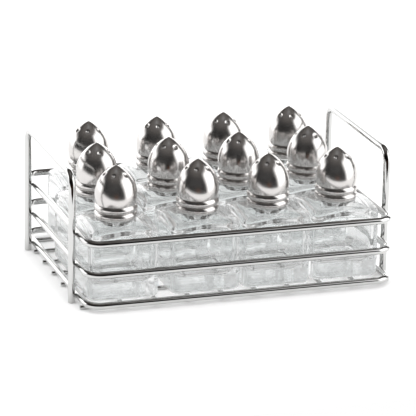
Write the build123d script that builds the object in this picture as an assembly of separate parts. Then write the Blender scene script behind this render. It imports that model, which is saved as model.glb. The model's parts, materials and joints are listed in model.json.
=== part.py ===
from build123d import *
import os
from math import asin, cos, degrees, radians, sin, sqrt

# A chrome wire rack of twelve square glass shakers with pointed metal screw caps.
# Millimetres. +X runs along the rack's long side, +Y to its back, +Z up. The origin is at the
# middle of the rack, on the table that its four handle feet stand on.

# Rack: three stacked rings of thick wire, with an upside-down U at each end
WIRE_D = 3.8
RING_HALF_X = 85.0
RING_HALF_Y = 65.5
RING_CORNER_R = 8.0
RING_HEIGHTS = {"bottom_ring": 4.1, "middle_ring": 21.1, "top_ring": 38.2}
HANDLE_HALF_Y = 45.0
HANDLE_TOP_Z = 70.9
HANDLE_BEND_R = 6.5

# Floor: thin long wires under the bottom ring, and thin cross wires resting on them
FLOOR_WIRE_D = 2.2
LONG_WIRE_COUNT = 7
LONG_WIRE_PITCH = 18.9
LONG_WIRE_HALF_LENGTH = 87.5
CROSS_WIRE_COUNT = 8
CROSS_WIRE_PITCH = 18.8

# Glass shaker
JAR_WIDTH = 38.5
JAR_CORNER_R = 5.0
JAR_WALL = 2.6
JAR_FLOOR = 8.0
JAR_LIFT = 0.05
FOOT_FILLET = 1.2
SHOULDER_SPHERE_R = 75.0
SHOULDER_APEX = 41.0
SHOULDER_FILLET = 1.6
CAVITY_TOP = 35.5
CAVITY_FILLET = 2.4
NECK_R = 9.2
NECK_TOP = 49.5
BORE_R = 6.9
LIP_FILLET = 0.8
THREAD_R = 9.6
THREAD_BEAD_R = 0.7
THREAD_HEIGHTS = (43.9, 47.4)

# Pointed screw cap, pressed from thin sheet
CAP_SEAT = 40.5
CAP_HEIGHT = 28.5
CAP_WALL = 0.6
DOME_R = 11.4
DOME_ARC_R = 17.5
TIP_R = 1.1
WAIST_R = 10.8
WAIST_Z = 7.8
RIB_R = 11.6
GROOVE_R = 10.8
GROOVE_Z = 3.8
RIM_R = 11.1
RIM_Z = 0.3
HOLE_COUNT = 6
HOLE_D = 1.6
HOLE_CIRCLE_R = 6.6

# Where each shaker stands, from left to right: X and Y of its axis, and the turn of its cap in
# degrees. They stand loose and are screwed on by hand, so the spacing and the turns are uneven.
ROWS = {
    "front": ((-63.5, -41.0, 243), (-18.0, -41.0, 245), (22.0, -41.0, 242), (62.0, -39.0, 244)),
    "middle": ((-62.0, 1.0, 268), (-21.0, 1.5, 286), (19.5, 1.5, 252), (60.5, 3.0, 289)),
    "back": ((-55.0, 42.0, 251), (-15.5, 41.5, 260), (23.5, 40.5, 271), (63.5, 43.0, 265)),
}

WIRE_R = WIRE_D / 2
FLOOR_WIRE_R = FLOOR_WIRE_D / 2
HANDLE_X = RING_HALF_X + WIRE_D
LONG_WIRE_Z = RING_HEIGHTS["bottom_ring"] - WIRE_R - FLOOR_WIRE_R
CROSS_WIRE_Z = LONG_WIRE_Z + FLOOR_WIRE_D
JAR_Z = CROSS_WIRE_Z + FLOOR_WIRE_R + JAR_LIFT

# The dome is an ogive: an arc whose centre lies beyond the axis, closed by a small round tip
OGIVE_CENTRE_R = DOME_R - DOME_ARC_R
SPRING_Z = CAP_HEIGHT - TIP_R - sqrt((DOME_ARC_R - TIP_R) ** 2 - OGIVE_CENTRE_R**2)
TIP_Z = CAP_HEIGHT - TIP_R


def centred(count, pitch):
    """Evenly spaced places, centred on zero."""
    return [(index - (count - 1) / 2) * pitch for index in range(count)]


def ring(height):
    """A closed loop of thick wire with rounded corners, lying flat at this height."""
    path = Plane.XY.offset(height) * RectangleRounded(2 * RING_HALF_X, 2 * RING_HALF_Y, RING_CORNER_R)
    start = Plane(origin=(0, -RING_HALF_Y, height), x_dir=(0, 1, 0), z_dir=(1, 0, 0))
    return sweep(start * Circle(WIRE_R), path=path.wire())


def handle(side):
    """An upside-down U of thick wire whose two legs run down to the table. side is -1 or 1."""
    x = side * HANDLE_X
    path = FilletPolyline(
        (x, -HANDLE_HALF_Y, 0),
        (x, -HANDLE_HALF_Y, HANDLE_TOP_Z),
        (x, HANDLE_HALF_Y, HANDLE_TOP_Z),
        (x, HANDLE_HALF_Y, 0),
        radius=HANDLE_BEND_R,
    )
    foot = Plane(origin=(x, -HANDLE_HALF_Y, 0), x_dir=(1, 0, 0), z_dir=(0, 0, 1))
    return sweep(foot * Circle(WIRE_R), path=path)


def long_wire(y):
    """A thin straight wire along X, under the bottom ring."""
    start = Plane(origin=(-LONG_WIRE_HALF_LENGTH, y, LONG_WIRE_Z), z_dir=(1, 0, 0))
    return extrude(start * Circle(FLOOR_WIRE_R), 2 * LONG_WIRE_HALF_LENGTH)


def cross_wire(x):
    """A thin straight wire along Y, whose ends are fitted against the inside of the bottom ring."""
    start = Plane(origin=(x, -RING_HALF_Y, CROSS_WIRE_Z), z_dir=(0, 1, 0))
    wire = extrude(start * Circle(FLOOR_WIRE_R), 2 * RING_HALF_Y)
    for side in (-1, 1):
        run_start = (x - WIRE_D, side * RING_HALF_Y, RING_HEIGHTS["bottom_ring"])
        ring_run = extrude(Plane(origin=run_start, z_dir=(1, 0, 0)) * Circle(WIRE_R), 2 * WIRE_D)
        wire -= ring_run
    solids = wire.solids()
    return max(solids, key=lambda solid: solid.volume)


def square_block(width, corner_r, low, high):
    """An upright square block with rounded corners, from one height to another."""
    return extrude(Plane.XY.offset(low) * RectangleRounded(width, width, corner_r), high - low)


def jar():
    """A square glass bottle with a domed shoulder, a thick floor and a threaded round neck."""
    body = square_block(JAR_WIDTH, JAR_CORNER_R, 0, SHOULDER_APEX)
    body &= Pos(0, 0, SHOULDER_APEX - SHOULDER_SPHERE_R) * Sphere(SHOULDER_SPHERE_R)
    top = body.faces().sort_by(Axis.Z)[-1]
    body = fillet(top.edges(), SHOULDER_FILLET)
    body = fillet(body.faces().sort_by(Axis.Z)[0].edges(), FOOT_FILLET)
    neck_foot = CAVITY_TOP
    neck = Pos(0, 0, neck_foot) * Cylinder(NECK_R, NECK_TOP - neck_foot, align=(Align.CENTER,) * 2 + (Align.MIN,))
    neck = fillet(neck.edges().group_by(Axis.Z)[-1], LIP_FILLET)
    for height in THREAD_HEIGHTS:
        neck += Pos(0, 0, height) * Torus(THREAD_R - THREAD_BEAD_R, THREAD_BEAD_R)
    cavity = square_block(JAR_WIDTH - 2 * JAR_WALL, JAR_CORNER_R - JAR_WALL / 2, JAR_FLOOR, CAVITY_TOP)
    cavity = fillet(cavity.edges().group_by(Axis.Z)[0] + cavity.edges().group_by(Axis.Z)[-1], CAVITY_FILLET)
    bore = Pos(0, 0, JAR_FLOOR) * Cylinder(BORE_R, NECK_TOP - JAR_FLOOR, align=(Align.CENTER,) * 2 + (Align.MIN,))
    return body + neck - cavity - bore


def cap_outline(inset):
    """Half of the cap's upright section, drawn this far inside its outer face, closed on the axis."""
    arc_r = DOME_ARC_R - inset
    tip_r = TIP_R - inset
    tip_angle = asin(-OGIVE_CENTRE_R / (DOME_ARC_R - TIP_R))
    dome_angle = radians(90) - tip_angle
    join = (tip_r * sin(tip_angle), TIP_Z + tip_r * cos(tip_angle))
    dome_middle = (
        OGIVE_CENTRE_R + arc_r * cos(dome_angle / 2),
        SPRING_Z + arc_r * sin(dome_angle / 2),
    )
    tip_middle = (tip_r * sin(tip_angle / 2), TIP_Z + tip_r * cos(tip_angle / 2))
    rim = (RIM_R - inset, 0)
    rim_top = (RIM_R - inset, RIM_Z)
    groove = (GROOVE_R - inset, GROOVE_Z)
    waist = (WAIST_R - inset, WAIST_Z)
    rib_1 = (RIB_R - inset, (RIM_Z + GROOVE_Z) / 2)
    rib_2 = (RIB_R - inset, (GROOVE_Z + WAIST_Z) / 2)
    spring = (DOME_R - inset, SPRING_Z)
    lines = [
        Line((0, 0), rim),
        Line(rim, rim_top),
        ThreePointArc(rim_top, rib_1, groove),
        ThreePointArc(groove, rib_2, waist),
        TangentArc(spring, waist, tangent=(0, -1)),
        ThreePointArc(spring, dome_middle, join),
        ThreePointArc(join, tip_middle, (0, TIP_Z + tip_r)),
        Line((0, TIP_Z + tip_r), (0, 0)),
    ]
    return make_face([edge for line in lines for edge in line.edges()])


def cap():
    """A thin pointed dome with two rolled thread ribs and a circle of pouring holes."""
    shell = revolve(Plane.XZ * cap_outline(0), Axis.Z) - revolve(Plane.XZ * cap_outline(CAP_WALL), Axis.Z)
    slope = asin((HOLE_CIRCLE_R - OGIVE_CENTRE_R) / DOME_ARC_R)
    hole_z = SPRING_Z + DOME_ARC_R * cos(slope)
    for index in range(HOLE_COUNT):
        turn = Rot(0, 0, index * 360 / HOLE_COUNT)
        lean = Pos(HOLE_CIRCLE_R, 0, hole_z) * Rot(0, degrees(slope), 0)
        shell -= turn * lean * Cylinder(HOLE_D / 2, 4 * CAP_WALL)
    return shell


def make_parts():
    """Every separate piece by name."""
    parts = {name: ring(height) for name, height in RING_HEIGHTS.items()}
    parts["left_handle"] = handle(-1)
    parts["right_handle"] = handle(1)
    for index, y in enumerate(centred(LONG_WIRE_COUNT, LONG_WIRE_PITCH), 1):
        parts[f"floor_long_wire_{index}"] = long_wire(y)
    for index, x in enumerate(centred(CROSS_WIRE_COUNT, CROSS_WIRE_PITCH), 1):
        parts[f"floor_cross_wire_{index}"] = cross_wire(x)
    plain_jar, plain_cap = jar(), cap()
    for row, places in ROWS.items():
        for index, (x, y, cap_turn) in enumerate(places, 1):
            parts[f"glass_jar_{row}_{index}"] = Pos(x, y, JAR_Z) * plain_jar
            parts[f"shaker_cap_{row}_{index}"] = Pos(x, y, JAR_Z + CAP_SEAT) * Rot(0, 0, cap_turn) * plain_cap
    return parts


os.makedirs("parts", exist_ok=True)
for name, part in make_parts().items():
    export_step(part, f"parts/{name}.step")
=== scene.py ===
"""A chrome wire rack of twelve square glass shakers with pointed screw caps, as surfaces and finishes."""

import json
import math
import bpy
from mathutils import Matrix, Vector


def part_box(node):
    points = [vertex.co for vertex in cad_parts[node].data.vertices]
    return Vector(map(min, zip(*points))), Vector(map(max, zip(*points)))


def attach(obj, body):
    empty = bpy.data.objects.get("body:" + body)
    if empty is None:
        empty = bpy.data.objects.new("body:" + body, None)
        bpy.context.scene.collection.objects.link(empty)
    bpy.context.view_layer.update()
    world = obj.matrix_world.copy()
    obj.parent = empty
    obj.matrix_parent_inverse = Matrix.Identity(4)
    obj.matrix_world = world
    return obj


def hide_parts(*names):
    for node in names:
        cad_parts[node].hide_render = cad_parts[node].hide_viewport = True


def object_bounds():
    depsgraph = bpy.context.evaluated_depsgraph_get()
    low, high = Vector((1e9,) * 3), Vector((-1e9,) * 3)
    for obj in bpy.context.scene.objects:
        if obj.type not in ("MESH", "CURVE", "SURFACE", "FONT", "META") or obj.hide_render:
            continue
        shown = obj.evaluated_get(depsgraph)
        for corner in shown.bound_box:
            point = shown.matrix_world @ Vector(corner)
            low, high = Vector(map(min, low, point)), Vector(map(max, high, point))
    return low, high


bl_info = {
    "name": "Glass shaker rack",
    "version": (1, 0, 0),
    "blender": (4, 5, 0),
    "location": "3D View > Sidebar > Shaker rack",
    "description": "Builds a chrome wire rack of glass shakers around its packed model",
    "category": "Object",
}

import bpy
import numpy as np
from bpy.props import FloatProperty, FloatVectorProperty, IntProperty, PointerProperty
from mathutils import Matrix, Vector

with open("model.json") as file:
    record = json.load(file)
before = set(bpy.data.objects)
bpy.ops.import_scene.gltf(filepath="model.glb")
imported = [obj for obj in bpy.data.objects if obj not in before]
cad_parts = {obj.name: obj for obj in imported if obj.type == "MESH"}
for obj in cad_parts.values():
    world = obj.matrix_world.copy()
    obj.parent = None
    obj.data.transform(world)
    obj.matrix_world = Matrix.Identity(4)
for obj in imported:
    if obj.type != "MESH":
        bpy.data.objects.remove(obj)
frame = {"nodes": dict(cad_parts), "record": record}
CAD_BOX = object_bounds()
MM = 0.001
UP = np.array((0, 0, 1.0))

RING_NODES = ("bottom_ring", "middle_ring", "top_ring")
HANDLE_NODES = ("left_handle", "right_handle")


def numbered(stem):
    """The model's node names that start with this stem, in order."""
    return sorted(name for name in frame["nodes"] if name.startswith(stem))


def corners(node):
    """A node's lowest and highest corners, as arrays."""
    low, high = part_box(node)
    return np.array(low), np.array(high)


def body_of_node(node):
    """The moving body that a node of the model belongs to."""
    bodies = frame["record"]["behaviour"]["bodies"]
    return next(body for body, nodes in bodies.items() if node in nodes)


def linear(hex_colour):
    """An sRGB hex colour as linear red, green and blue."""
    srgb = np.array([int(hex_colour[place:place + 2], 16) for place in (1, 3, 5)]) / 255
    curve = np.where(srgb <= 0.04045, srgb / 12.92, ((srgb + 0.055) / 1.055) ** 2.4)
    return tuple(float(value) for value in curve)


# ---------------------------------------------------------------- sizes and colours


def length(name, description, millimetres):
    """A length in metres, given in millimetres."""
    return FloatProperty(
        name=name, description=description, default=millimetres * MM, min=0.0, precision=5, unit="LENGTH"
    )


def colour(name, description, hex_colour):
    """A colour kept as linear values, given as sRGB hex."""
    return FloatVectorProperty(
        name=name, description=description, default=linear(hex_colour), min=0.0, max=1.0, subtype="COLOR"
    )


class RackSizes(bpy.types.PropertyGroup):
    """Sizes of the wire rack that its packed boxes don't tell."""

    corner_radius: length("Ring corner", "Bend of a ring's corner, at the wire's centre", 8.0)
    handle_bend: length("Handle bend", "Bend of a handle's corner, at the wire's centre", 6.5)
    wire_sides: IntProperty(name="Wire sides", description="Facets round a wire", default=28, min=8)


class JarSizes(bpy.types.PropertyGroup):
    """Sizes of a glass jar, from its foot upwards."""

    corner_radius: length("Upright corner", "Radius of the four upright edges", 5.0)
    wall: length("Wall", "Thickness of the glass walls", 2.6)
    floor: length("Floor", "Thickness of the glass floor", 8.0)
    foot_round: length("Foot rounding", "Rounding round the foot", 1.4)
    foot_band: length("Foot band", "Width of the flat band that the jar stands on", 1.6)
    foot_recess: length("Foot recess", "How far the underside is hollowed", 0.6)
    shoulder_sphere: length("Shoulder dome", "Radius of the shoulder's dome", 75.0)
    shoulder_apex: length("Shoulder top", "Height of the dome's top, before the neck", 41.0)
    shoulder_round: length("Shoulder rounding", "Rounding between walls and shoulder", 1.8)
    neck_round: length("Neck rounding", "Rounding between shoulder and neck", 1.2)
    neck_radius: length("Neck", "Outer radius of the neck", 9.2)
    bore_radius: length("Bore", "Inner radius of the neck", 6.9)
    thread_height: length("Thread", "How far the thread stands out of the neck", 0.4)
    thread_pitch: length("Thread pitch", "Rise of the thread in one turn", 3.4)
    thread_start: length("Thread start", "Height of the thread's start above the shoulder", 0.8)
    throat_round: length("Throat rounding", "Rounding from the bore to the shoulder's inside", 2.0)
    shoulder_glass: length("Shoulder thickness", "Thickness of the glass in the shoulder", 3.2)
    inner_round: length("Inner rounding", "Rounding inside, between shoulder and walls", 4.5)
    bowl_round: length("Bowl", "Rounding inside, between walls and floor", 5.5)
    floor_dip: length("Floor dip", "How far the floor sinks in its middle", 0.8)


class CapSizes(bpy.types.PropertyGroup):
    """Sizes of a screw cap, from its rim upwards."""

    wall: length("Wall", "Thickness of the metal sheet", 0.5)
    rim: length("Rim", "Radius of the rim", 11.1)
    rib: length("Rib", "Radius of a thread rib's crest", 11.6)
    groove: length("Groove", "Radius of the groove between the ribs", 10.8)
    groove_height: length("Groove height", "Height of the groove above the rim", 3.8)
    waist: length("Waist", "Radius where the upper rib ends and the dome begins", 10.8)
    waist_height: length("Waist height", "Height of the waist above the rim", 7.8)
    dome_radius: length("Dome", "Radius of the dome at its widest", 11.4)
    dome_arc: length("Dome arc", "Radius of the arc that runs up to the tip", 17.5)
    tip_radius: length("Tip", "Radius of the rounded tip", 1.1)
    hole_radius: length("Hole", "Radius of a pouring hole", 0.62)
    hole_circle: length("Hole circle", "Distance of the holes from the cap's axis", 6.6)
    dimple_depth: length("Dimple", "Depth of the dimple that a hole is punched in", 0.45)
    dimple_width: length("Dimple width", "How far a dimple spreads from its hole", 0.55)
    hole_count: IntProperty(name="Holes", description="Pouring holes in a cap", default=6, min=3, max=8)


class FinishColours(bpy.types.PropertyGroup):
    """Colours of the three finishes and the stage."""

    chrome: colour("Chrome", "Chrome plate on the wires", "#C8C8C7")
    cap: colour("Cap steel", "Polished stainless sheet of the caps", "#CDCAC8")
    glass: colour("Glass", "Tint of the clear glass", "#FDFEFE")
    floor: colour("Floor", "Pale studio floor", "#FCFCFC")


class StageSizes(bpy.types.PropertyGroup):
    """Where the camera stands and how the studio is lit."""

    azimuth: FloatProperty(
        name="Azimuth", description="Camera's turn from straight in front", default=math.radians(-18.558),
        subtype="ANGLE",
    )
    elevation: FloatProperty(
        name="Elevation", description="Camera's height above level", default=math.radians(18.007),
        subtype="ANGLE",
    )
    roll: FloatProperty(
        name="Roll", description="Camera's tilt about its own line of sight", default=math.radians(1.171),
        subtype="ANGLE",
    )
    distance: length("Distance", "Camera to the point that it looks at", 1580.6)
    aim_x: length("Aim X", "How far right of the middle the camera looks", 1.87)
    aim_z: length("Aim Z", "Height above the table that the camera looks at", 31.17)
    focal: FloatProperty(
        name="Focal length", description="Lens in millimetres on a 36 mm film", default=247.6,
        subtype="DISTANCE_CAMERA",
    )
    floor_reach: length("Floor reach", "How far the floor runs to each side and to the back", 3000.0)
    floor_front: length("Floor front", "How far the floor runs in front of the rack's middle", 220.0)


# ---------------------------------------------------------------- surfaces


def sheet_faces(rows, columns, wrap_rows=False, wrap_columns=True):
    """Quads between the neighbours of a grid of rows by columns, either way closed on itself if asked."""
    row = np.arange(rows if wrap_rows else rows - 1)
    column = np.arange(columns if wrap_columns else columns - 1)
    here, along = np.meshgrid(row, column, indexing="ij")
    up, right = (here + 1) % rows, (along + 1) % columns
    quads = np.stack(
        [here * columns + along, here * columns + right, up * columns + right, up * columns + along],
        axis=-1,
    )
    return quads.reshape(-1, 4)


def fan_faces(pole, ring_start, columns, upward):
    """Triangles from a pole to the ring of points that starts at ring_start."""
    first = ring_start + np.arange(columns)
    second = ring_start + (np.arange(columns) + 1) % columns
    middle = np.full(columns, pole)
    order = (first, second, middle) if upward else (second, first, middle)
    return np.stack(order, axis=-1)


def new_piece(name, points, face_sets, material, sharp_angle=None):
    """A mesh object from points and one or more arrays of faces, smooth shaded, with its material."""
    mesh = bpy.data.meshes.new(name)
    faces = [face for faces in face_sets for face in faces.tolist()]
    mesh.from_pydata(points.tolist(), [], faces)
    mesh.shade_smooth()
    if sharp_angle is not None:
        mesh.set_sharp_from_angle(angle=math.radians(sharp_angle))
    mesh.materials.append(material)
    piece = bpy.data.objects.new(name, mesh)
    bpy.context.scene.collection.objects.link(piece)
    return piece


def place_piece(piece, node):
    """Lets a finished piece stand for a node of the model and ride on its body."""
    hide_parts(node)
    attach(piece, body_of_node(node))


def arc(centre, radius, start, stop, steps):
    """Points of an arc in the half section (r, z), from one angle in degrees to another."""
    angle = np.radians(np.linspace(start, stop, steps))
    return np.stack([centre[0] + radius * np.cos(angle), centre[1] + radius * np.sin(angle)], axis=-1)


def tube(path, inward, upright, radii, sides, closed):
    """A round wire carried along a path.

    Point (i, j) is path[i] + radii[i] * (cos(a_j) * inward[i] + sin(a_j) * upright), where a_j runs
    once round the wire. A closed path joins its end to its start. An open one ends in flat fans.
    """
    angle = np.linspace(0, 2 * np.pi, sides, endpoint=False)
    across = np.cos(angle)[None, :, None] * inward[:, None, :] + np.sin(angle)[None, :, None] * upright
    points = (path[:, None, :] + radii[:, None, None] * across).reshape(-1, 3)
    faces = [sheet_faces(len(path), sides, wrap_rows=closed)]
    if not closed:
        start, end = len(points), len(points) + 1
        points = np.vstack([points, path[:1], path[-1:]])
        faces.append(fan_faces(start, 0, sides, upward=False))
        faces.append(fan_faces(end, (len(path) - 1) * sides, sides, upward=True))
    return points, faces


def bent_path(corner_points, normal, radius, closed, corner_steps=14, side_steps=10):
    """A wire's centre line through corners that all turn left round the normal, and its inward side.

    A bend's point is centre + radius * (sin(a) * ahead - cos(a) * inward), with a from nought to the
    whole turn, and the wire is straight from one bend to the next.
    """
    corner_points = np.array(corner_points, float)
    count = len(corner_points)
    bends = range(count) if closed else range(1, count - 1)
    runs = []
    for place in bends:
        corner = corner_points[place]
        ahead = corner - corner_points[place - 1]
        ahead /= np.linalg.norm(ahead)
        leaving = corner_points[(place + 1) % count] - corner
        leaving /= np.linalg.norm(leaving)
        inward = np.cross(normal, ahead)
        turn = math.acos(float(ahead @ leaving))
        centre = corner - ahead * radius * math.tan(turn / 2) + inward * radius
        angle = np.linspace(0, turn, corner_steps)[:, None]
        bend = centre + radius * (np.sin(angle) * ahead - np.cos(angle) * inward)
        runs.append((bend, np.cos(angle) * inward - np.sin(angle) * ahead))
    share = np.linspace(0, 1, side_steps + 2)[1:-1, None]
    if closed:
        pairs = zip(runs, runs[1:] + runs[:1])
    else:
        first, last = runs[0], runs[-1]
        lead_in = (corner_points[:1], first[1][:1])
        lead_out = (corner_points[-1:], last[1][-1:])
        runs = [lead_in, *runs, lead_out]
        pairs = zip(runs, runs[1:])
    path, sides = [], []
    for (points, inward), (following, _) in pairs:
        path += [points, points[-1] * (1 - share) + following[0] * share]
        sides += [inward, np.repeat(inward[-1:], side_steps, axis=0)]
    if not closed:
        path.append(corner_points[-1:])
        sides.append(runs[-1][1])
    return np.vstack(path), np.vstack(sides)


def straight_path(start, end, sideways, trim):
    """A straight wire's centre line, with close points at its ends for their trimmed edges."""
    share = np.array([0, 0, 0.5, 1, 1])[:, None]
    start, end = np.array(start, float), np.array(end, float)
    step = (end - start) / np.linalg.norm(end - start) * trim
    shift = np.array([0, 1, 0, -1, 0])[:, None] * step
    return start * (1 - share) + end * share + shift, np.repeat([sideways], 5, axis=0)


def trimmed(radius, count, trim):
    """A wire's radius at each point of its path, less at both ends, where the cut edge is broken."""
    radii = np.full(count, radius)
    radii[[0, -1]] -= trim
    return radii


def outward_faces(points, face_sets):
    """The faces of a closed surface, turned over if they enclose a negative volume."""
    volume = 0.0
    for faces in face_sets:
        for corner in range(1, faces.shape[1] - 1):
            a, b, c = (points[faces[:, place]] for place in (0, corner, corner + 1))
            volume += float(np.einsum("ij,ij->", a, np.cross(b, c)))
    return face_sets if volume > 0 else [faces[:, ::-1] for faces in face_sets]


# ---------------------------------------------------------------- finishes


def add_node(tree, kind, settings=None, **inputs):
    """Adds a node, sets its own settings, and fills or links its inputs by name."""
    node = tree.nodes.new(kind)
    for name, value in (settings or {}).items():
        setattr(node, name, value)
    for name, value in inputs.items():
        key = int(name[1:]) if name[0] == "_" else name.replace("_", " ")
        socket = node.inputs[key]
        if isinstance(value, bpy.types.NodeSocket):
            tree.links.new(value, socket)
        else:
            socket.default_value = value
    return node


def new_material(name):
    """An empty node material with its output, and its node tree."""
    material = bpy.data.materials.new(name)
    material.use_nodes = True
    material.node_tree.nodes.clear()
    return material, material.node_tree


def chrome_plate(colours):
    """Bright chrome plate on drawn steel wire: mirror-like, with the faint ripple of thin plating."""
    material, tree = new_material("chrome_plate")
    place = add_node(tree, "ShaderNodeTexCoord").outputs["Object"]
    ripple_size = 2.5 * MM
    ripple = add_node(tree, "ShaderNodeTexNoise", Vector=place, Scale=1 / ripple_size, Detail=2.0)
    bump = add_node(tree, "ShaderNodeBump", Height=ripple.outputs["Fac"], Strength=0.12, Distance=0.03 * MM)
    cloud_size = 9 * MM
    cloud = add_node(tree, "ShaderNodeTexNoise", Vector=place, Scale=1 / cloud_size, Detail=3.0)
    rough = add_node(tree, "ShaderNodeMapRange", Value=cloud.outputs["Fac"], From_Min=0.3, From_Max=0.7,
                     To_Min=0.03, To_Max=0.07)
    shader = add_node(
        tree, "ShaderNodeBsdfPrincipled", Base_Color=(*colours.chrome, 1.0), Metallic=1.0,
        Roughness=rough.outputs["Result"], Normal=bump.outputs["Normal"],
    )
    add_node(tree, "ShaderNodeOutputMaterial", Surface=shader.outputs["BSDF"])
    return material


def polished_stainless(colours):
    """Pressed and polished stainless sheet: a soft mirror with fine draw lines that run up the dome."""
    material, tree = new_material("polished_stainless")
    local = add_node(tree, "ShaderNodeAttribute", {"attribute_name": "local_place"}).outputs["Vector"]
    line_pitch, line_length = 0.5 * MM, 14 * MM
    drawn_out = add_node(tree, "ShaderNodeMapping", {"vector_type": "POINT"}, Vector=local,
                         Scale=(1 / line_pitch, 1 / line_pitch, 1 / line_length)).outputs["Vector"]
    lines = add_node(tree, "ShaderNodeTexNoise", Vector=drawn_out, Scale=1.0, Detail=2.0)
    dent_size = 5 * MM
    dents = add_node(tree, "ShaderNodeTexNoise", Vector=local, Scale=1 / dent_size, Detail=1.0)
    soft = add_node(tree, "ShaderNodeBump", Height=dents.outputs["Fac"], Strength=0.15, Distance=0.08 * MM)
    bump = add_node(tree, "ShaderNodeBump", Height=lines.outputs["Fac"], Strength=0.12, Distance=0.02 * MM,
                    Normal=soft.outputs["Normal"])
    smear_size = 7 * MM
    smear = add_node(tree, "ShaderNodeTexNoise", Vector=local, Scale=1 / smear_size, Detail=4.0)
    rough = add_node(tree, "ShaderNodeMapRange", Value=smear.outputs["Fac"], From_Min=0.3, From_Max=0.7,
                     To_Min=0.19, To_Max=0.25)
    shader = add_node(
        tree, "ShaderNodeBsdfPrincipled", Base_Color=(*colours.cap, 1.0), Metallic=1.0,
        Roughness=rough.outputs["Result"], Normal=bump.outputs["Normal"],
    )
    add_node(tree, "ShaderNodeOutputMaterial", Surface=shader.outputs["BSDF"])
    return material


def pressed_glass(colours):
    """Pressed soda-lime glass: clear, a little wavy, with a stippled band low on the walls."""
    material, tree = new_material("pressed_glass")
    local = add_node(tree, "ShaderNodeAttribute", {"attribute_name": "local_place"}).outputs["Vector"]
    wave_size = 7 * MM
    waves = add_node(tree, "ShaderNodeTexNoise", Vector=local, Scale=1 / wave_size, Detail=1.0)
    soft = add_node(tree, "ShaderNodeBump", Height=waves.outputs["Fac"], Strength=0.2, Distance=0.2 * MM)
    apart = add_node(tree, "ShaderNodeSeparateXYZ", Vector=local)
    band_ends, band_full = 11 * MM, 7 * MM
    band = add_node(
        tree, "ShaderNodeMapRange", Value=apart.outputs["Z"], From_Min=band_ends, From_Max=band_full
    )
    pimple_size = 1.8 * MM
    pimples = add_node(
        tree, "ShaderNodeTexVoronoi", {"feature": "SMOOTH_F1"}, Vector=local, Scale=1 / pimple_size,
        Randomness=0.35,
    )
    stipple = add_node(
        tree, "ShaderNodeMath", {"operation": "MULTIPLY"}, _0=pimples.outputs["Distance"],
        _1=band.outputs["Result"],
    )
    bump = add_node(
        tree, "ShaderNodeBump", Height=stipple.outputs["Value"], Strength=0.45, Distance=0.2 * MM,
        Normal=soft.outputs["Normal"],
    )
    shader = add_node(
        tree, "ShaderNodeBsdfPrincipled", Base_Color=(*colours.glass, 1.0), Roughness=0.0, IOR=1.52,
        Transmission_Weight=1.0, Normal=bump.outputs["Normal"],
    )
    add_node(tree, "ShaderNodeOutputMaterial", Surface=shader.outputs["BSDF"])
    return material


def white_paper(colours):
    """Matt white studio paper: even and soft, with no gloss."""
    material, tree = new_material("white_paper")
    shader = add_node(
        tree, "ShaderNodeBsdfPrincipled", Base_Color=(*colours.floor, 1.0), Roughness=0.9,
        Specular_IOR_Level=0.1,
    )
    add_node(tree, "ShaderNodeOutputMaterial", Surface=shader.outputs["BSDF"])
    return material


FINISHES = {
    "chrome_wire": chrome_plate,
    "polished_cap": polished_stainless,
    "clear_glass": pressed_glass,
    "floor": white_paper,
}


def finish(slot):
    """The material of a slot, made once."""
    maker = FINISHES[slot]
    found = bpy.data.materials.get(maker.__name__)
    return found or maker(bpy.context.scene.shaker_colours)


# ---------------------------------------------------------------- wires


# How much a cut end's broken edge takes off a wire, as shares of the wire's radius
HANDLE_EDGE_SHARE = 0.12
FLOOR_WIRE_EDGE_SHARE = 0.15


class SHAKER_OT_rings(bpy.types.Operator):
    """Bends the three rings: each a closed loop of thick wire with rounded corners."""

    bl_idname = "shaker.rings"
    bl_label = "Rings"

    def execute(self, context):
        sizes = context.scene.shaker_rack
        for node in RING_NODES:
            low, high = corners(node)
            radius = (high[2] - low[2]) / 2
            middle = (low + high) / 2
            half = (high - low) / 2 - radius
            turns = np.array([(1, -1, 0), (1, 1, 0), (-1, 1, 0), (-1, -1, 0)])
            route = middle + turns * (half[0], half[1], 0)
            path, inward = bent_path(route, UP, sizes.corner_radius, closed=True)
            radii = np.full(len(path), radius)
            points, faces = tube(path, inward, UP, radii, sizes.wire_sides, closed=True)
            ring = new_piece("wire_" + node, points, outward_faces(points, faces), finish("chrome_wire"))
            place_piece(ring, node)
        return {"FINISHED"}


class SHAKER_OT_handles(bpy.types.Operator):
    """Bends the two handles: each an upside-down U of thick wire that stands on its cut ends."""

    bl_idname = "shaker.handles"
    bl_label = "Handles"

    def execute(self, context):
        sizes = context.scene.shaker_rack
        for node in HANDLE_NODES:
            low, high = corners(node)
            radius = (high[0] - low[0]) / 2
            x = (low[0] + high[0]) / 2
            near, far, top = low[1] + radius, high[1] - radius, high[2] - radius
            route = [(x, far, 0), (x, far, top), (x, near, top), (x, near, 0)]
            normal = np.array((1.0, 0, 0))
            path, inward = bent_path(route, normal, sizes.handle_bend, closed=False)
            trim = radius * HANDLE_EDGE_SHARE
            above_cut = (0, 0, trim)
            path = np.vstack([path[:1], path[:1] + above_cut, path[1:-1], path[-1:] + above_cut, path[-1:]])
            inward = np.vstack([inward[:1], inward, inward[-1:]])
            radii = trimmed(radius, len(path), trim)
            points, faces = tube(path, inward, normal, radii, sizes.wire_sides, closed=False)
            handle = new_piece(
                "wire_" + node, points, outward_faces(points, faces), finish("chrome_wire"), sharp_angle=50
            )
            place_piece(handle, node)
        return {"FINISHED"}


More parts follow.
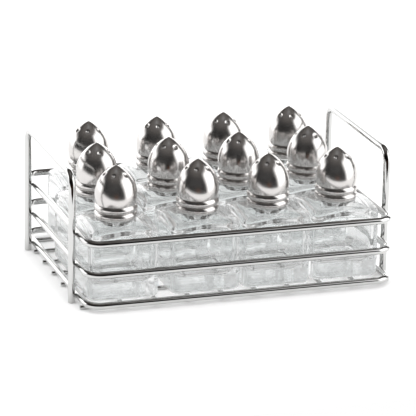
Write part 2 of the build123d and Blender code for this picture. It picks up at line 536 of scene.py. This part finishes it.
class SHAKER_OT_floor_wires(bpy.types.Operator):
    """Lays the straight thin wires of the rack's floor, with the sharp edge of each cut end broken."""

    bl_idname = "shaker.floor_wires"
    bl_label = "Floor wires"

    def execute(self, context):
        sizes = context.scene.shaker_rack
        for node in numbered("floor_"):
            low, high = corners(node)
            radius = (high[2] - low[2]) / 2
            middle = (low + high) / 2
            along = int(np.argmax(high - low))
            start, end = middle.copy(), middle.copy()
            start[along], end[along] = low[along], high[along]
            sideways = np.eye(3)[1 - along]
            trim = radius * FLOOR_WIRE_EDGE_SHARE
            path, inward = straight_path(start, end, sideways, trim)
            radii = trimmed(radius, len(path), trim)
            points, faces = tube(path, inward, UP, radii, sizes.wire_sides // 2, closed=False)
            wire = new_piece(
                "wire_" + node, points, outward_faces(points, faces), finish("chrome_wire"), sharp_angle=50
            )
            place_piece(wire, node)
        return {"FINISHED"}


# ---------------------------------------------------------------- glass jars


def column_angles(flat_steps, corner_steps, half_width, corner_radius):
    """Angles round a rounded square, close together over its corners and wide apart on its flats."""
    bend_start = math.atan2(half_width - corner_radius, half_width)
    flat = np.linspace(-bend_start, bend_start, flat_steps, endpoint=False)
    bend = np.linspace(bend_start, np.pi / 2 - bend_start, corner_steps, endpoint=False)
    quarter = np.concatenate([flat, bend])
    return np.concatenate([quarter + turn * np.pi / 2 for turn in range(4)])


def square_radius(angle, half_width, corner_radius):
    """Distance from the axis to a rounded square, along a ray at this angle.

    A ray that meets a flat is half_width / cos(angle) long. One that meets a corner ends on a circle
    of the corner radius, whose centre is (half_width - corner_radius) along both axes.
    """
    folded = np.abs((angle + np.pi / 4) % (np.pi / 2) - np.pi / 4)
    corner_radius = np.minimum(corner_radius, half_width)
    centre = half_width - corner_radius
    on_flat = half_width / np.cos(folded)
    along = centre * (np.cos(folded) + np.sin(folded))
    root = np.maximum(along**2 - 2 * centre**2 + corner_radius**2, 0)
    in_bend = half_width * np.tan(folded) > centre
    return np.where(in_bend, along + np.sqrt(root), on_flat)


# Space between a bend and the first row of the straight wall next to it
WALL_GAP = 1 * MM


def skin_rows(width, bend, height, dome=0.0, thread=0.0):
    """Rows (half width, corner radius, height, dome share, thread share) of a jar's skin.

    With a dome share of one the height is measured from the shoulder's dome, else from the jar's foot.
    """
    columns = np.broadcast_arrays(width, bend, height, dome, thread)
    return np.stack([np.atleast_1d(column).astype(float) for column in columns], axis=-1)


def foot_rows(sizes, half_width, mid_wall):
    """From the middle of the hollowed underside, over the band that the jar stands on, to its walls."""
    corner, foot = sizes.corner_radius, sizes.foot_round
    recess_edge = half_width - foot - sizes.foot_band
    recess_corner = corner * 0.8
    share = np.linspace(0.12, 1, 6)
    turn = arc((half_width - foot, foot), foot, -90, 0, 7)
    return [
        skin_rows(share * recess_edge, share * recess_corner, sizes.foot_recess),
        skin_rows(recess_edge + sizes.foot_recess, recess_corner, 0.0),
        skin_rows(turn[:, 0], corner - (half_width - turn[:, 0]) * 0.5, turn[:, 1]),
        skin_rows(half_width, corner, np.linspace(foot + WALL_GAP, mid_wall, 6)),
    ]


def shoulder_rows(sizes, half_width):
    """Over the upper edge of the walls, and up the domed shoulder to the foot of the neck."""
    corner, rounding, neck_round = sizes.corner_radius, sizes.shoulder_round, sizes.neck_round
    slope = 14  # degrees, of the dome where it meets the upper edge
    edge_turn = arc((half_width - rounding, 0), rounding, 0, 90 - slope, 8)
    edge_drop = rounding * math.cos(math.radians(slope))
    edge = edge_turn[-1, 0]
    neck_foot = sizes.neck_radius + neck_round
    neck_turn = arc((neck_foot, neck_round), neck_round, -90, -180, 6)[1:]
    share = np.linspace(0, 1, 10)[1:]
    edge_corner = corner - 1 * MM
    return [
        skin_rows(
            edge_turn[:, 0], corner - (half_width - edge_turn[:, 0]) * 0.5, edge_turn[:, 1] - edge_drop,
            dome=1.0,
        ),
        skin_rows(
            edge + (neck_foot - edge) * share, edge_corner + (neck_foot - edge_corner) * share**1.5, 0.0,
            dome=1.0,
        ),
        skin_rows(neck_turn[:, 0], neck_turn[:, 0], neck_turn[:, 1], dome=1.0),
    ]


def neck_rows(sizes, top):
    """Up the neck, whose thread fades in and out over a millimetre, over its lip and down the bore."""
    neck, bore = sizes.neck_radius, sizes.bore_radius
    lip = (neck - bore) / 2
    start, stop = sizes.shoulder_apex + sizes.thread_start, top - lip
    climb = np.linspace(start, stop, 40)
    fade = np.clip((climb - start) / MM, 0, 1) * np.clip((stop - climb) / MM, 0, 1)
    turn = arc((neck - lip, stop), lip, 0, 180, 12)[1:]
    return [
        skin_rows(neck, neck, climb, thread=fade),
        skin_rows(turn[:, 0], turn[:, 0], turn[:, 1]),
        skin_rows(bore, bore, np.linspace(stop, sizes.shoulder_apex, 5)[1:]),
    ]


def inside_rows(sizes, half_width, mid_wall):
    """From the bore, under the shoulder and down the inner walls, to the middle of the floor."""
    inner = half_width - sizes.wall
    corner = sizes.corner_radius - sizes.wall / 2
    throat, ceiling, bowl = sizes.throat_round, -sizes.shoulder_glass, sizes.bowl_round
    start, edge = sizes.bore_radius + throat, inner - sizes.inner_round
    throat_turn = arc((start, ceiling - throat), throat, 180, 90, 6)
    edge_turn = arc((edge, ceiling - sizes.inner_round), sizes.inner_round, 90, 0, 8)[1:]
    bowl_turn = arc((inner - bowl, sizes.floor + bowl), bowl, 0, -90, 9)
    out = np.linspace(0, 1, 7)[1:]
    inward = np.linspace(1, 0.12, 6)[1:]
    dip = sizes.floor_dip * (1 - inward**2)
    return [
        skin_rows(throat_turn[:, 0], throat_turn[:, 0], throat_turn[:, 1], dome=1.0),
        skin_rows(start + (edge - start) * out, start + (corner - start) * out**0.7, ceiling, dome=1.0),
        skin_rows(edge_turn[:, 0], corner, edge_turn[:, 1], dome=1.0),
        skin_rows(inner, corner, np.linspace(mid_wall, sizes.floor + bowl + WALL_GAP, 6)),
        skin_rows(bowl_turn[:, 0], corner + (bowl_turn[:, 0] - inner) * 0.3, bowl_turn[:, 1]),
        skin_rows((inner - bowl) * inward, corner * inward, sizes.floor - dip),
    ]


def jar_rows(sizes, half_width, top):
    """The jar's skin from the middle of its underside, over its lip and down to the middle of its floor."""
    mid_wall = top * 0.4
    return np.vstack([
        *foot_rows(sizes, half_width, mid_wall),
        *shoulder_rows(sizes, half_width),
        *neck_rows(sizes, top),
        *inside_rows(sizes, half_width, mid_wall),
    ])


def jar_surface(sizes, low, high):
    """The whole skin of a jar as points and faces.

    Point (i, j) lies at angle a_j and at the rounded square's radius for row i. Its height is the row's,
    plus, by the row's dome share, apex - (R - sqrt(R^2 - radius^2)) for a shoulder sphere of radius R. On
    the neck the radius grows by a thread ridge, a power of the cosine of (turns climbed - turn round).
    """
    half_width = (high[0] - low[0]) / 2
    top = high[2] - low[2]
    rows = jar_rows(sizes, half_width, top)
    angle = column_angles(
        flat_steps=10, corner_steps=12, half_width=half_width, corner_radius=sizes.corner_radius
    )
    width, bend, height, dome, thread = (rows[:, place, None] for place in range(5))
    radius = square_radius(angle[None, :], width, bend)
    turns = height / sizes.thread_pitch - angle[None, :] / (2 * np.pi)
    ridge = np.maximum(np.cos(2 * np.pi * turns), 0) ** 3
    radius = radius + thread * sizes.thread_height * ridge
    sphere = sizes.shoulder_sphere
    crown = sizes.shoulder_apex - (sphere - np.sqrt(sphere**2 - radius**2))
    z = height + dome * crown
    across = [radius * np.cos(angle), radius * np.sin(angle)]
    grid = np.stack([*across, np.broadcast_to(z, radius.shape)], axis=-1)
    columns = len(angle)
    points = grid.reshape(-1, 3)
    floor_pole_dip = 0.05 * MM
    poles = np.array([(0, 0, grid[0, :, 2].mean()), (0, 0, grid[-1, :, 2].mean() - floor_pole_dip)])
    faces = [
        sheet_faces(len(rows), columns),
        fan_faces(len(points), 0, columns, upward=False),
        fan_faces(len(points) + 1, len(points) - columns, columns, upward=True),
    ]
    return np.vstack([points, poles]), faces


def remember_local_place(piece, local):
    """Keeps each point's place on its own piece, for patterns that follow the piece."""
    attribute = piece.data.attributes.new("local_place", "FLOAT_VECTOR", "POINT")
    attribute.data.foreach_set("vector", local.astype(np.float32).ravel())


class SHAKER_OT_jars(bpy.types.Operator):
    """Moulds the square glass jars, each with a domed shoulder, a threaded neck and a thick floor."""

    bl_idname = "shaker.jars"
    bl_label = "Glass jars"

    def execute(self, context):
        sizes = context.scene.shaker_jar
        for node in numbered("glass_jar_"):
            low, high = corners(node)
            foot = np.array(((low[0] + high[0]) / 2, (low[1] + high[1]) / 2, low[2]))
            local, faces = jar_surface(sizes, low, high)
            piece = new_piece(
                "clear_" + node, local + foot, outward_faces(local, faces), finish("clear_glass")
            )
            remember_local_place(piece, local)
            # light that reaches the floor passes straight through clear glass
            piece.visible_diffuse = piece.visible_shadow = False
            place_piece(piece, node)
        return {"FINISHED"}


# ---------------------------------------------------------------- caps


def cap_section(sizes, height):
    """The cap's outer half section below the dome's arc as rows (r, z): rim, two thread ribs, waist and
    swell.

    Rib rows are groove + (crest - groove) * sin(pi * share) ** 0.8. The dome is an arc whose centre lies
    beyond the axis, and the tip a small arc that it meets without a kink. Also gives the arc's centre and
    the tip's height.
    """
    beyond = sizes.dome_radius - sizes.dome_arc
    tip_z = height - sizes.tip_radius
    spring = tip_z - math.sqrt((sizes.dome_arc - sizes.tip_radius) ** 2 - beyond**2)
    edge = sizes.wall / 2
    rim = np.array([(sizes.rim - edge, 0), (sizes.rim - edge / 3, edge / 3), (sizes.rim, edge)])
    groove = (sizes.groove, sizes.groove_height)
    waist = (sizes.waist, sizes.waist_height)
    share = np.linspace(0, 1, 15)[1:, None]
    rises = []
    for low, high in ((rim[-1], groove), (groove, waist)):
        rise = np.array(low) * (1 - share) + np.array(high) * share
        rise[:, 0] += (sizes.rib - rise[:, 0]) * np.sin(np.pi * share[:, 0]) ** 0.8
        rises.append(rise)
    share = np.linspace(0, 1, 8)[1:-1]
    swell = np.stack([
        waist[0] + (sizes.dome_radius - waist[0]) * np.sin(np.pi / 2 * share),
        waist[1] + (spring - waist[1]) * share,
    ], axis=-1)
    return np.vstack([rim, *rises, swell]), (beyond, spring, tip_z)


# Cells of the cap's grid from a hole's middle to the edge of the patch that is let in round it
PATCH_REACH = 4


def patch_edge():
    """Steps by column and by row from a hole's middle to the points round the edge of its patch."""
    side = np.arange(-PATCH_REACH, PATCH_REACH)
    far = np.full(2 * PATCH_REACH, PATCH_REACH)
    return np.concatenate([side, far, -side, -far]), np.concatenate([-far, side, far, -side])


def hole_patch(sizes, centre, hole_place, edge_place, around):
    """Rings of points on the dome from a hole's rim out to the edge of its patch.

    A place is (climb, theta): the angle up the dome's arc, whose centre in the half section is given,
    and the angle round the cap. Each ring lies a share of the way from rim to edge. The dimple is
    depth * exp(-((distance from the rim) / width) ** 2) deep.
    """
    beyond, spring = centre
    hole_climb, hole_theta = hole_place
    edge_climb, edge_theta = edge_place
    share = np.linspace(0, 1, 8)[:-1, None] ** 1.4
    rim_climb = hole_climb + sizes.hole_radius * np.sin(around) / sizes.dome_arc
    rim_theta = hole_theta + sizes.hole_radius * np.cos(around) / (
        beyond + sizes.dome_arc * np.cos(rim_climb)
    )
    climb = rim_climb * (1 - share) + edge_climb * share
    theta = rim_theta * (1 - share) + edge_theta * share
    away = np.hypot(
        (climb - hole_climb) * sizes.dome_arc,
        (theta - hole_theta) * (beyond + sizes.dome_arc * np.cos(climb)),
    )
    dip = sizes.dimple_depth * np.exp(-(((away - sizes.hole_radius) / sizes.dimple_width) ** 2))
    r = beyond + (sizes.dome_arc - dip) * np.cos(climb)
    z = spring + (sizes.dome_arc - dip) * np.sin(climb)
    return np.stack([r * np.cos(theta), r * np.sin(theta), z], axis=-1)


def cap_surface(sizes, height):
    """The cap's outer skin: a surface of revolution with a small patch of grid let in at each hole."""
    lower, (beyond, spring, tip_z) = cap_section(sizes, height)
    columns = 16 * sizes.hole_count
    hole_climb = math.acos((sizes.hole_circle - beyond) / sizes.dome_arc)
    join_climb = math.acos(-beyond / (sizes.dome_arc - sizes.tip_radius))
    cell = 2 * np.pi * sizes.hole_circle / columns
    below = round(hole_climb * sizes.dome_arc / cell)
    above = round((join_climb - hole_climb) * sizes.dome_arc / cell)
    climb = np.concatenate([
        np.linspace(0, hole_climb, below + 1), np.linspace(hole_climb, join_climb, above + 1)[1:]
    ])
    arc_points = [beyond + sizes.dome_arc * np.cos(climb), spring + sizes.dome_arc * np.sin(climb)]
    turn = np.linspace(join_climb, np.pi / 2, 6)[1:-1]
    tip = np.stack([sizes.tip_radius * np.cos(turn), tip_z + sizes.tip_radius * np.sin(turn)], axis=-1)
    section = np.vstack([lower, np.stack(arc_points, axis=-1), tip])
    hole_row = len(lower) + below
    theta = np.arange(columns) * 2 * np.pi / columns
    r, z = section[:, 0, None], section[:, 1, None]
    across = [r * np.cos(theta), r * np.sin(theta)]
    grid = np.stack([*across, np.broadcast_to(z, (len(section), columns))], axis=-1)
    points = [grid.reshape(-1, 3), np.array([(0, 0, height)])]
    count = len(section) * columns + 1
    quads = sheet_faces(len(section), columns)
    row_of, column_of = np.divmod(quads[:, 0], columns)
    keep = np.ones(len(quads), bool)
    edge_column, edge_row = patch_edge()
    around = np.arctan2(edge_row, edge_column)
    patches = []
    for hole in range(sizes.hole_count):
        middle = hole * columns // sizes.hole_count
        offset = (column_of - middle + columns // 2) % columns - columns // 2
        near_row = np.abs(row_of - hole_row + 0.5) < PATCH_REACH
        keep &= ~(near_row & (np.abs(offset + 0.5) < PATCH_REACH))
        edge_place = (climb[below + edge_row], theta[middle] + edge_column * 2 * np.pi / columns)
        patch = hole_patch(sizes, (beyond, spring), (hole_climb, theta[middle]), edge_place, around)
        points.append(patch.reshape(-1, 3))
        index = count + np.arange(patch.shape[0] * patch.shape[1]).reshape(patch.shape[:2])
        count += index.size
        outer = (hole_row + edge_row) * columns + (middle + edge_column) % columns
        index = np.vstack([index, outer])
        after = np.roll(index, -1, axis=1)
        patches.append(np.stack([index[:-1], index[1:], after[1:], after[:-1]], axis=-1).reshape(-1, 4))
    tip_fan = fan_faces(len(section) * columns, (len(section) - 1) * columns, columns, upward=True)
    return np.vstack(points), [quads[keep], *patches, tip_fan]


def corner_normals(points, face_sets):
    """A unit normal at each point, averaged over the faces that meet there by their area."""
    total = np.zeros_like(points)
    for faces in face_sets:
        a, b = points[faces[:, 2]] - points[faces[:, 0]], points[faces[:, -1]] - points[faces[:, 1]]
        if faces.shape[1] == 3:
            a, b = points[faces[:, 1]] - points[faces[:, 0]], points[faces[:, 2]] - points[faces[:, 0]]
        across = np.cross(a, b)
        for place in range(faces.shape[1]):
            np.add.at(total, faces[:, place], across)
    long = np.linalg.norm(total, axis=1, keepdims=True)
    return total / np.where(long > 0, long, 1)


def thicken(points, face_sets, wall):
    """A closed shell: the skin, the same skin moved inward by the wall, and a band round each open edge."""
    inner = points - corner_normals(points, face_sets) * wall
    count = len(points)
    edges = np.vstack([
        np.stack([faces[:, place], np.roll(faces, -1, axis=1)[:, place]], axis=-1)
        for faces in face_sets for place in range(faces.shape[1])
    ])
    codes = edges[:, 0] * count + edges[:, 1]
    open_edges = edges[~np.isin(codes, edges[:, 1] * count + edges[:, 0])]
    band = np.stack([
        open_edges[:, 1], open_edges[:, 0], open_edges[:, 0] + count, open_edges[:, 1] + count
    ], axis=-1)
    turned = [faces[:, ::-1] + count for faces in face_sets]
    return np.vstack([points, inner]), [*face_sets, *turned, band]


def without_loose_points(points, face_sets):
    """The same surface with only the points that its faces use."""
    used = np.unique(np.concatenate([faces.ravel() for faces in face_sets]))
    place = np.zeros(len(points), int)
    place[used] = np.arange(len(used))
    return points[used], [place[faces] for faces in face_sets]


# How far each cap is turned about its axis, in degrees, from left to right
CAP_TURNS = {"front": (243, 245, 242, 244), "middle": (268, 286, 252, 289), "back": (251, 260, 271, 265)}


class SHAKER_OT_caps(bpy.types.Operator):
    """Presses the pointed caps: thin shells with two rolled ribs and a circle of punched holes."""

    bl_idname = "shaker.caps"
    bl_label = "Screw caps"

    def execute(self, context):
        sizes = context.scene.shaker_cap
        for node in numbered("shaker_cap_"):
            low, high = corners(node)
            axis = np.array(((low[0] + high[0]) / 2, (low[1] + high[1]) / 2, low[2]))
            skin, skin_faces = cap_surface(sizes, high[2] - low[2])
            points, face_sets = thicken(skin, skin_faces, sizes.wall)
            points, face_sets = without_loose_points(points, face_sets)
            row, place = node.split("_")[2:]
            turn = math.radians(CAP_TURNS[row][int(place) - 1])
            cosine, sine = math.cos(turn), math.sin(turn)
            spin = np.array([(cosine, sine, 0), (-sine, cosine, 0), (0, 0, 1)])
            local = points @ spin
            piece = new_piece(
                "steel_" + node, local + axis, outward_faces(local, face_sets), finish("polished_cap"),
                sharp_angle=40,
            )
            remember_local_place(piece, points)
            place_piece(piece, node)
        return {"FINISHED"}


# ---------------------------------------------------------------- stage


def studio_light(world, facing):
    """A dim room with a bright wall round the back and left, a soft box on the right and a warm dark front.

    facing is the camera's azimuth: the room is turned with it. Polished metal mirrors this room. Matt
    surfaces are lit evenly, glass lets through a paler copy, and the camera itself sees plain white.
    """
    world.use_nodes = True
    tree = world.node_tree
    tree.nodes.clear()
    direction = add_node(tree, "ShaderNodeTexCoord").outputs["Generated"]
    turned = add_node(
        tree, "ShaderNodeVectorRotate", {"rotation_type": "Z_AXIS"}, Vector=direction, Angle=-facing
    ).outputs["Vector"]
    apart = add_node(tree, "ShaderNodeSeparateXYZ", Vector=turned)

    def math_node(operation, first, second=0.0):
        node = add_node(tree, "ShaderNodeMath", {"operation": operation}, _0=first, _1=second)
        return node.outputs["Value"]

    def ramp(value, low, high):
        node = add_node(
            tree, "ShaderNodeMapRange", {"interpolation_type": "SMOOTHSTEP"}, Value=value, From_Min=low,
            From_Max=high,
        )
        return node.outputs["Result"]

    def mix(share, first, second):
        node = add_node(tree, "ShaderNodeMix", {"data_type": "FLOAT"}, _0=share, _2=first, _3=second)
        return node.outputs[0]

    to_front = math_node("MULTIPLY", apart.outputs["Y"], -1.0)
    from_front = math_node("ARCTAN2", apart.outputs["X"], to_front)
    from_back = math_node("ARCTAN2", apart.outputs["X"], apart.outputs["Y"])
    rise = math_node("ARCSINE", apart.outputs["Z"])
    degree = math.radians(1)

    def window(value, low, high, soft):
        opening = ramp(value, (low - soft) * degree, (low + soft) * degree)
        closing = ramp(value, (high + soft) * degree, (high - soft) * degree)
        return math_node("MULTIPLY", opening, closing)

    def panel(swing, left, right, low, high, soft, strength):
        across = window(swing, left, right, soft)
        up = window(rise, low, high, soft)
        return math_node("MULTIPLY", math_node("MULTIPLY", across, up), strength)

    ceiling_glow, zenith_glow, front_glow = 0.13, 0.16, 0.005
    ceiling = math_node("MULTIPLY", ramp(rise, 28 * degree, 70 * degree), ceiling_glow)
    zenith = math_node("MULTIPLY", ramp(rise, 72 * degree, 90 * degree), zenith_glow)
    dark_front = math_node("ADD", math_node("ADD", ceiling, zenith), front_glow)
    bright_wall = panel(from_back, left=-95, right=42, low=-95, high=26, soft=7, strength=2.2)
    room = math_node("MAXIMUM", dark_front, bright_wall)
    soft_box = panel(from_front, left=30, right=116, low=-30, high=49, soft=6, strength=2.4)
    slanted = math_node("ADD", from_front, math_node("MULTIPLY", rise, 0.2))
    soft_box = math_node("MULTIPLY", ramp(slanted, 44 * degree, 66 * degree), soft_box)
    room = math_node("MAXIMUM", room, soft_box)
    ray = add_node(tree, "ShaderNodeLightPath").outputs
    even_light, white, glass_light, glass_share = 1.45, 1.0, 0.92, 0.1
    through_glass = math_node("ADD", math_node("MULTIPLY", room, glass_share), glass_light)
    strength = mix(ray["Is Glossy Ray"], even_light, room)
    strength = mix(math_node("MINIMUM", ray["Transmission Depth"], 1.0), strength, through_glass)
    strength = mix(ray["Is Camera Ray"], strength, white)
    warmth = ramp(strength, 0.25, 0.03)
    warm = add_node(
        tree, "ShaderNodeMix", {"data_type": "RGBA"}, _0=warmth, _6=(1.0, 1.0, 1.0, 1.0),
        _7=(1.0, 0.86, 0.77, 1.0),
    ).outputs[2]
    lit = add_node(tree, "ShaderNodeBackground", Color=warm, Strength=strength)
    amber_glow = 0.09
    lamp = panel(from_front, left=-4, right=14, low=-16, high=2, soft=5, strength=1.0)
    amber_strength = math_node("MULTIPLY", math_node("MULTIPLY", lamp, ray["Is Glossy Ray"]), amber_glow)
    amber = add_node(tree, "ShaderNodeBackground", Color=(1.0, 0.3, 0.07, 1.0), Strength=amber_strength)
    both = add_node(
        tree, "ShaderNodeAddShader", _0=lit.outputs["Background"], _1=amber.outputs["Background"]
    )
    add_node(tree, "ShaderNodeOutputWorld", Surface=both.outputs["Shader"])


class SHAKER_OT_stage(bpy.types.Operator):
    """Lays the pale floor, lights the studio and sets the camera."""

    bl_idname = "shaker.stage"
    bl_label = "Stage"

    def execute(self, context):
        scene = context.scene
        sizes = scene.shaker_stage
        across = np.linspace(-sizes.floor_reach, sizes.floor_reach, 25)
        depth = np.linspace(-sizes.floor_front, sizes.floor_reach, 15)
        y, x = np.meshgrid(depth, across, indexing="ij")
        points = np.stack([x, y, np.full_like(x, CAD_BOX[0][2])], axis=-1).reshape(-1, 3)
        faces = sheet_faces(len(depth), len(across), wrap_columns=False)
        floor = new_piece("studio_floor", points, [faces], finish("floor"))
        world = bpy.data.worlds.new("studio")
        scene.world = world
        studio_light(world, sizes.azimuth)
        scene.view_settings.view_transform = "Standard"
        light = scene.cycles
        light.max_bounces = light.transmission_bounces = light.glossy_bounces = 32
        scene.collection.objects.link(self.camera(scene, sizes))
        return {"FINISHED"}

    def camera(self, scene, sizes):
        """A camera on a long lens, looking a little down at the rack from the left of its front."""
        swing, lift = sizes.azimuth, sizes.elevation
        back = Vector((
            math.sin(swing) * math.cos(lift), -math.cos(swing) * math.cos(lift), math.sin(lift)
        ))
        right = Vector((0, 0, 1)).cross(back).normalized()
        up = back.cross(right)
        turn = Matrix((right, up, back)).transposed() @ Matrix.Rotation(sizes.roll, 3, "Z")
        film = bpy.data.cameras.new("camera")
        film.lens = sizes.focal
        film.sensor_width = 36.0
        camera = bpy.data.objects.new("camera", film)
        camera.matrix_world = Matrix.Translation(
            Vector((sizes.aim_x, 0, sizes.aim_z)) + back * sizes.distance
        ) @ turn.to_4x4()
        scene.camera = camera
        return camera


# ---------------------------------------------------------------- panel and run


STEPS = (
    SHAKER_OT_stage,
    SHAKER_OT_rings,
    SHAKER_OT_handles,
    SHAKER_OT_floor_wires,
    SHAKER_OT_jars,
    SHAKER_OT_caps,
)
GROUPS = {
    "shaker_rack": RackSizes,
    "shaker_jar": JarSizes,
    "shaker_cap": CapSizes,
    "shaker_colours": FinishColours,
    "shaker_stage": StageSizes,
}


class SHAKER_PT_panel(bpy.types.Panel):
    """Lists the sizes, the colours and the steps that build the rack."""

    bl_idname = "SHAKER_PT_panel"
    bl_label = "Shaker rack"
    bl_space_type = "VIEW_3D"
    bl_region_type = "UI"
    bl_category = "Shaker rack"

    def draw(self, context):
        for name, group in GROUPS.items():
            box = self.layout.box()
            for field in group.__annotations__:
                box.prop(getattr(context.scene, name), field)
        for step in STEPS:
            self.layout.operator(step.bl_idname)


def register():
    """Adds the property groups, the operators and the panel to Blender."""
    for kind in (*GROUPS.values(), *STEPS, SHAKER_PT_panel):
        bpy.utils.register_class(kind)
    for name, group in GROUPS.items():
        setattr(bpy.types.Scene, name, PointerProperty(type=group))


def unregister():
    """Takes them out again."""
    for name in GROUPS:
        delattr(bpy.types.Scene, name)
    for kind in (SHAKER_PT_panel, *STEPS[::-1], *list(GROUPS.values())[::-1]):
        bpy.utils.unregister_class(kind)


def main():
    """Builds every piece and the stage."""
    register()
    for step in STEPS:
        group, name = step.bl_idname.split(".")
        getattr(getattr(bpy.ops, group), name)()


if __name__ == "__main__":
    main()
